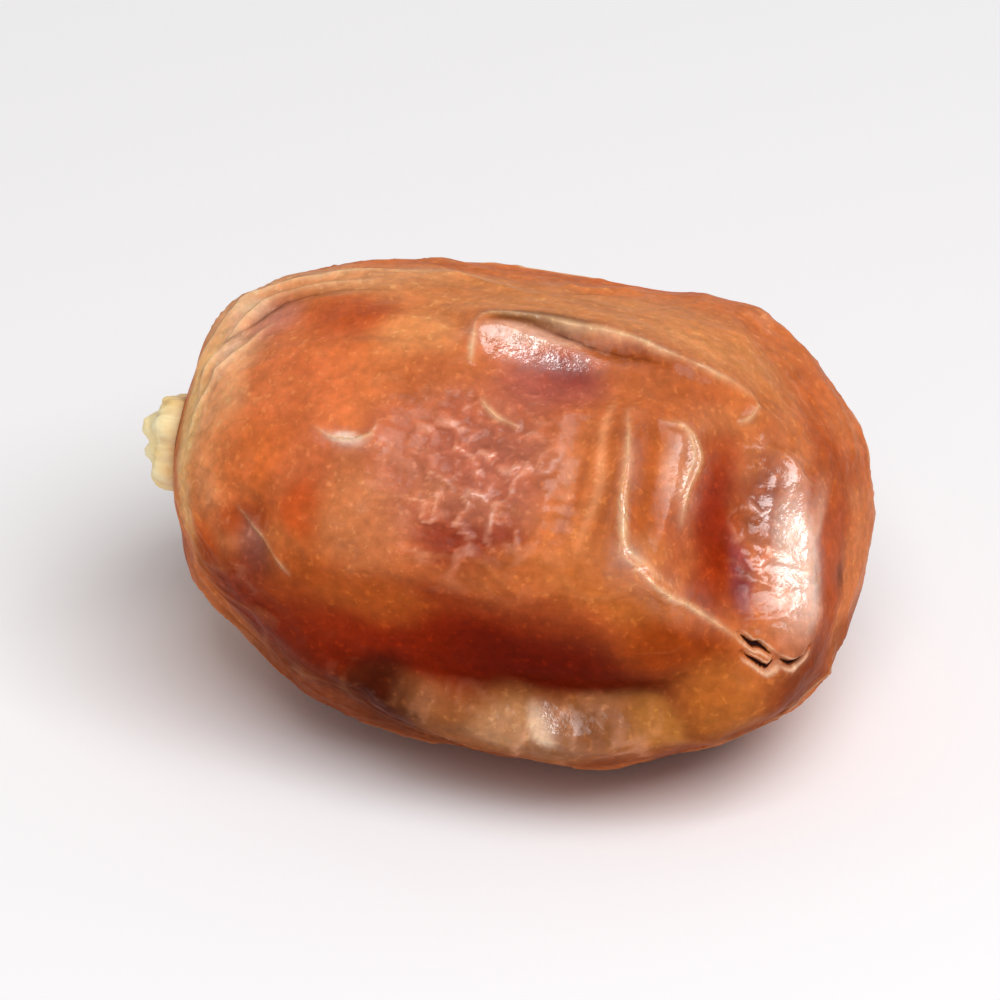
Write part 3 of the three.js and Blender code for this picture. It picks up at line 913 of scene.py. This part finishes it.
class Nodes:
    """Short ways to add shader nodes to one material."""

    def __init__(self, name):
        self.material = bpy.data.materials.new(name)
        self.material.use_nodes = True
        self.tree = self.material.node_tree
        self.shader = self.tree.nodes["Principled BSDF"]

    def link(self, source, target):
        """Joins one socket to another."""
        self.tree.links.new(source, target)

    def add(self, kind, **settings):
        """A new node with those settings."""
        node = self.tree.nodes.new(kind)
        for label, value in settings.items():
            setattr(node, label, value)
        return node

    def attribute(self, label, output="Fac"):
        """What the mesh keeps at each point under that name."""
        return self.add("ShaderNodeAttribute", attribute_name=label).outputs[output]

    def put(self, socket, value):
        """Gives a socket another socket's output, or else a plain value."""
        if hasattr(value, "is_linked"):
            self.link(value, socket)
        else:
            socket.default_value = value

    def math(self, operation, a, b=0.0, clamp=False):
        """Two numbers joined by an operation."""
        node = self.add("ShaderNodeMath", operation=operation, use_clamp=clamp)
        self.put(node.inputs[0], a)
        self.put(node.inputs[1], b)
        return node.outputs[0]

    def noise(self, scale, detail=3.0, roughness=0.55, stretch=(1, 1, 1), kind="FBM"):
        """Noise fixed to the object, with scale bumps in a metre."""
        place = self.add("ShaderNodeTexCoord").outputs["Object"]
        mapping = self.add("ShaderNodeMapping")
        mapping.inputs["Scale"].default_value = stretch
        self.link(place, mapping.inputs["Vector"])
        node = self.add("ShaderNodeTexNoise", noise_type=kind)
        node.inputs["Scale"].default_value = scale
        node.inputs["Detail"].default_value = detail
        node.inputs["Roughness"].default_value = roughness
        self.link(mapping.outputs["Vector"], node.inputs["Vector"])
        return node.outputs["Fac"]

    def span(self, value, low, high, to_low=0.0, to_high=1.0):
        """The value moved from one range to another, and held inside it."""
        node = self.add("ShaderNodeMapRange")
        self.put(node.inputs["Value"], value)
        settings = (("From Min", low), ("From Max", high), ("To Min", to_low), ("To Max", to_high))
        for label, number in settings:
            node.inputs[label].default_value = number
        return node.outputs["Result"]

    def blend(self, factor, a, b, mode="MIX"):
        """Two colours mixed."""
        node = self.add("ShaderNodeMix", data_type="RGBA", blend_type=mode)
        self.put(node.inputs["Factor"], factor)
        colours = [socket for socket in node.inputs if socket.type == "RGBA"]
        self.put(colours[0], a)
        self.put(colours[1], b)
        return [socket for socket in node.outputs if socket.type == "RGBA"][0]

    def bump(self, height, distance, strength=1.0, below=None):
        """Relief up to distance mm high, on top of what is below."""
        node = self.add("ShaderNodeBump")
        node.inputs["Strength"].default_value = strength
        node.inputs["Distance"].default_value = distance * MM
        self.put(node.inputs["Height"], height)
        if below is not None:
            self.link(below, node.inputs["Normal"])
        return node.outputs["Normal"]


def thin_line(nodes, label, width):
    """The section of a thin raised line, from 1 along it to 0 beside it."""
    aside = nodes.math("ABSOLUTE", nodes.attribute(label + "_aside"))
    section = nodes.math("EXPONENT", nodes.math("DIVIDE", aside, -width))
    return nodes.math("MULTIPLY", section, nodes.attribute(label))


def patchy_line(nodes, label, patches):
    """A thin line that is stronger in some patches than in others."""
    width, weakest, strongest = LINE_LOOKS[label]
    strength = nodes.span(patches, 0, 1, weakest, strongest)
    return nodes.math("MULTIPLY", thin_line(nodes, label, width), strength)


def split_lips(nodes, label):
    """The section of the pale lips on both sides of a cut."""
    aside = nodes.math("ABSOLUTE", nodes.attribute(label + "_aside"))
    off = nodes.math("DIVIDE", nodes.math("SUBTRACT", aside, PALE_LIP_ASIDE), PALE_LIP_WIDTH)
    section = nodes.math("EXPONENT", nodes.math("MULTIPLY", nodes.math("MULTIPLY", off, off), -1.0))
    strength = nodes.math("MULTIPLY", nodes.attribute(label), PALE_LIP_STRENGTH, True)
    return nodes.math("MULTIPLY", section, strength)


def skin_material():
    """The date's skin: its tints, thin lines, crumple and split, with a wet coat where it is glossy.
    The pale lines and squiggles are painted highlights, and the grooves and cuts painted shade.
    """
    nodes = Nodes("date_skin")
    patches = nodes.span(nodes.noise(380, 3, 0.6), 0.4, 0.6)
    fold, crease, rim, groove = (patchy_line(nodes, kind, patches) for kind in LINE_LOOKS)
    lines = nodes.math("MAXIMUM", nodes.math("MAXIMUM", fold, crease), rim)
    lips = nodes.math("MAXIMUM", split_lips(nodes, "upper_split"), split_lips(nodes, "lower_split"))
    upper_cut = thin_line(nodes, "upper_split", CUT_WIDTH)
    lower_cut = thin_line(nodes, "lower_split", CUT_WIDTH)
    split = nodes.span(nodes.math("MAXIMUM", upper_cut, lower_cut), 0.35, 0.6)

    blotches = nodes.span(nodes.noise(500, 4, 0.65, (0.5, 1, 1)), 0.32, 0.68, 0.84, 1.14)
    colour = nodes.blend(1.0, nodes.attribute("tint", "Color"), blotches, "MULTIPLY")
    drawn = nodes.span(nodes.attribute("drawn"), 0.3, 1.0, 0.0, 0.35)
    colour = nodes.blend(drawn, colour, rgb(*DRAWN_COLOUR))
    crumple = nodes.noise(1500, 2, 0.6, (0.8, 1, 1), "RIDGED_MULTIFRACTAL")
    # pale squiggles on the loose skin: a painted highlight on its raised crumple
    squiggles = nodes.math("MULTIPLY", nodes.span(crumple, 0.85, 1.35, 0.0, 0.6), nodes.attribute("loose"))
    colour = nodes.blend(squiggles, colour, rgb(*SQUIGGLE_HIGHLIGHT_COLOUR))
    # pale along the crests of the lines: a painted highlight
    colour = nodes.blend(nodes.math("MULTIPLY", lines, 0.85), colour, rgb(*LINE_HIGHLIGHT_COLOUR))
    # dark along the grooves: painted shade
    colour = nodes.blend(groove, colour, rgb(*GROOVE_SHADE_COLOUR))
    colour = nodes.blend(nodes.math("MULTIPLY", lips, 0.8), colour, rgb(*LIP_COLOUR))
    # near black inside the cuts: painted shade
    colour = nodes.blend(split, colour, rgb(*CUT_SHADE_COLOUR))
    # mottled all over, with sparse specks of sugar
    speckle = nodes.span(nodes.noise(1500, 3, 0.6), 0.32, 0.68, 0.86, 1.12)
    colour = nodes.blend(1.0, colour, speckle, "MULTIPLY")
    sugar = nodes.span(nodes.noise(2100, 2, 0.5), 0.58, 0.72, 0.0, 0.5)
    colour = nodes.blend(sugar, colour, colour, "SCREEN")
    nodes.link(colour, nodes.shader.inputs["Base Color"])

    # pores and veins all over, grain where it is glossy, crumple where it is loose, and the lines
    crumple = nodes.math("MULTIPLY", crumple, nodes.span(nodes.attribute("loose"), 0, 1, 0.12, 1.0))
    relief = nodes.bump(nodes.noise(3200), 0.03, 0.7)
    grain = nodes.math("MULTIPLY", nodes.noise(1900, 3, 0.65), nodes.attribute("gloss"))
    relief = nodes.bump(grain, 0.12, 0.9, relief)
    veins = nodes.noise(900, 3, 0.6, (0.5, 1, 1), "RIDGED_MULTIFRACTAL")
    relief = nodes.bump(veins, 0.04, 0.7, relief)
    relief = nodes.bump(crumple, 0.1, 0.9, relief)
    relief = nodes.bump(lines, 0.18, 0.9, relief)
    relief = nodes.bump(groove, -0.15, 0.9, relief)
    relief = nodes.bump(lips, 0.1, 0.9, relief)
    relief = nodes.bump(split, -0.3, 1.0, relief)
    nodes.link(relief, nodes.shader.inputs["Normal"])
    nodes.link(relief, nodes.shader.inputs["Coat Normal"])

    rough = nodes.span(nodes.noise(700, 4), 0.3, 0.7, 0.35, 0.6)
    nodes.link(rough, nodes.shader.inputs["Roughness"])
    broken = nodes.span(nodes.noise(1300, 4, 0.65, (1, 0.5, 0.5)), 0.38, 0.52, 0.35, 1.0)
    wet = nodes.math("MULTIPLY", nodes.attribute("gloss"), broken)
    wet = nodes.math("ADD", wet, nodes.math("MULTIPLY", lines, 0.3), True)
    dry = nodes.math("MAXIMUM", split, groove)
    nodes.link(nodes.math("SUBTRACT", wet, dry, True), nodes.shader.inputs["Coat Weight"])
    shader = nodes.shader.inputs
    shader["Specular IOR Level"].default_value = 0.03
    shader["Subsurface Weight"].default_value = 0.2
    shader["Subsurface Radius"].default_value = (1.0, 0.28, 0.08)
    shader["Subsurface Scale"].default_value = 1.2 * MM
    shader["Coat Roughness"].default_value = 0.13
    shader["Coat IOR"].default_value = 2.3
    return nodes.material


def cap_material():
    """Dry cream-coloured husk, browner in the scar, and browner between its ribs and in its low lumps
    as painted shade.
    """
    nodes = Nodes("dry_cap")
    patch = nodes.span(nodes.noise(500, 4), 0.35, 0.65)
    colour = nodes.blend(patch, *(rgb(*shade) for shade in CAP_COLOURS))
    # browner in low lumps and between the ribs: painted shade
    groove = nodes.span(nodes.attribute("groove"), -1.4, 0.1, 0.6, 0.0)
    colour = nodes.blend(groove, colour, rgb(*CAP_GROOVE_SHADE_COLOUR))
    scar = nodes.span(nodes.attribute("share"), 0.16, 0.3, 0.7, 0.0)
    colour = nodes.blend(scar, colour, rgb(*CAP_SCAR_COLOUR))
    nodes.link(colour, nodes.shader.inputs["Base Color"])
    nodes.shader.inputs["Roughness"].default_value = 0.7
    fibres = nodes.bump(nodes.noise(2400, 4), 0.08, 0.8)
    nodes.link(fibres, nodes.shader.inputs["Normal"])
    return nodes.material


def floor_material():
    """A plain pale tabletop without gloss."""
    nodes = Nodes("table")
    nodes.shader.inputs["Base Color"].default_value = rgb(*FLOOR_COLOUR)
    nodes.shader.inputs["Roughness"].default_value = 0.9
    nodes.shader.inputs["Specular IOR Level"].default_value = 0.0
    return nodes.material


# ---- The scene ----

# In metres, watts and degrees
FLOOR_HALF = 3.0
BACKGROUND = (0.939, 0.947, 0.983, 1.0)
FILL_COLOUR = (1.0, 0.97, 0.93, 1)
FILL_STRENGTH = 0.32
KEY_PLACE = Vector((0.2, -0.24, 0.505))
KEY_SIZE = (0.56, 0.34)
KEY_POWER = 3.3
CAMERA_AZIMUTH = 14
CAMERA_ELEVATION = 34
CAMERA_DISTANCE = 0.85
VIEW_WIDTH = 0.058
SENSOR_WIDTH = 36  # in mm


def make_floor():
    """The table, which stays behind when the part is taken."""
    corners = np.array([(-1, -1, 0), (1, -1, 0), (1, 1, 0), (-1, 1, 0)]) * FLOOR_HALF
    floor = make_mesh("table", corners, np.array([[0, 1, 2, 3]]), {})
    floor.data.materials.append(floor_material())


def make_world():
    """A soft warm fill, and a pale background for what the camera and reflections see."""
    world = bpy.data.worlds.new("studio")
    bpy.context.scene.world = world
    world.use_nodes = True
    tree = world.node_tree
    tree.nodes.clear()
    path = tree.nodes.new("ShaderNodeLightPath")
    seen = path.outputs["Is Camera Ray"]
    for ray in ("Is Glossy Ray", "Is Transmission Ray"):
        either = tree.nodes.new("ShaderNodeMath")
        either.operation = "MAXIMUM"
        tree.links.new(seen, either.inputs[0])
        tree.links.new(path.outputs[ray], either.inputs[1])
        seen = either.outputs[0]
    fill = tree.nodes.new("ShaderNodeBackground")
    fill.inputs["Color"].default_value = FILL_COLOUR
    fill.inputs["Strength"].default_value = FILL_STRENGTH
    backdrop = tree.nodes.new("ShaderNodeBackground")
    backdrop.inputs["Color"].default_value = BACKGROUND
    backdrop.inputs["Strength"].default_value = 1.0
    mix = tree.nodes.new("ShaderNodeMixShader")
    tree.links.new(seen, mix.inputs[0])
    tree.links.new(fill.outputs[0], mix.inputs[1])
    tree.links.new(backdrop.outputs[0], mix.inputs[2])
    out = tree.nodes.new("ShaderNodeOutputWorld")
    tree.links.new(mix.outputs[0], out.inputs["Surface"])


def aim(thing, target):
    """Turns a lamp or camera towards a point."""
    thing.rotation_mode = "QUATERNION"
    thing.rotation_quaternion = (target - thing.location).to_track_quat("-Z", "Y")


def make_key_light(target):
    """A large soft lamp above the camera's right."""
    data = bpy.data.lights.new("key", "AREA")
    data.shape = "RECTANGLE"
    data.size, data.size_y = KEY_SIZE
    data.energy = KEY_POWER
    lamp = bpy.data.objects.new("key", data)
    bpy.context.scene.collection.objects.link(lamp)
    lamp.location = target + KEY_PLACE
    aim(lamp, target)


def make_camera(target):
    """A long lens at the photograph's angle."""
    azimuth, elevation = math.radians(CAMERA_AZIMUTH), math.radians(CAMERA_ELEVATION)
    back = Vector((
        math.sin(azimuth) * math.cos(elevation),
        -math.cos(azimuth) * math.cos(elevation),
        math.sin(elevation),
    ))
    data = bpy.data.cameras.new("camera")
    data.sensor_width = SENSOR_WIDTH
    data.lens = SENSOR_WIDTH * CAMERA_DISTANCE / VIEW_WIDTH
    camera = bpy.data.objects.new("camera", data)
    bpy.context.scene.collection.objects.link(camera)
    camera.location = target + back * CAMERA_DISTANCE
    aim(camera, target)
    bpy.context.scene.camera = camera


fruit, offset = make_fruit()
fruit.data.materials.append(skin_material())
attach(fruit, "root")
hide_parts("fruit")

cap = make_cap(offset)
cap.data.materials.append(cap_material())
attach(cap, "root")
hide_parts("calyx")

make_floor()
make_world()
middle = (cad_bounds[0] + cad_bounds[1]) / 2
make_key_light(middle)
make_camera(middle)
bpy.context.scene.view_settings.view_transform = "Standard"
